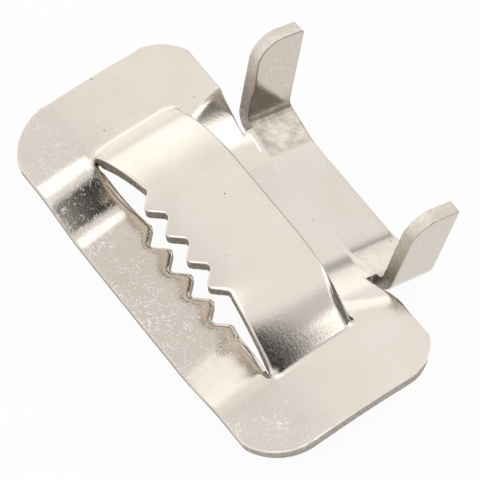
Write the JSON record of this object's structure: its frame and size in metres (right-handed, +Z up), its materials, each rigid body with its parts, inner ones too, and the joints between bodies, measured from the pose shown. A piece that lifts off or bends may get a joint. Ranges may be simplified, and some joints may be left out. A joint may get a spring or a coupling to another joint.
{
  "type": "strapping buckle",
  "caption": "Arched stamped stainless buckle for flat steel band, with a raised toothed bridge, a lowered toothed front rail and upright ears that fold down over the band's end.",
  "frame": {"origin": "centre of the bounding box on the level the buckle stands on", "axes": "+X along the length, +Y from the toothed front rail to the ears, +Z up"},
  "size_m": [0.041, 0.0262, 0.0128],
  "materials": {
    "stainless": "mill finish, lightly scratched, sheared edges darker"
  },
  "bodies": {
    "root": {"buckle": "stainless"}
  },
  "joints": []
}
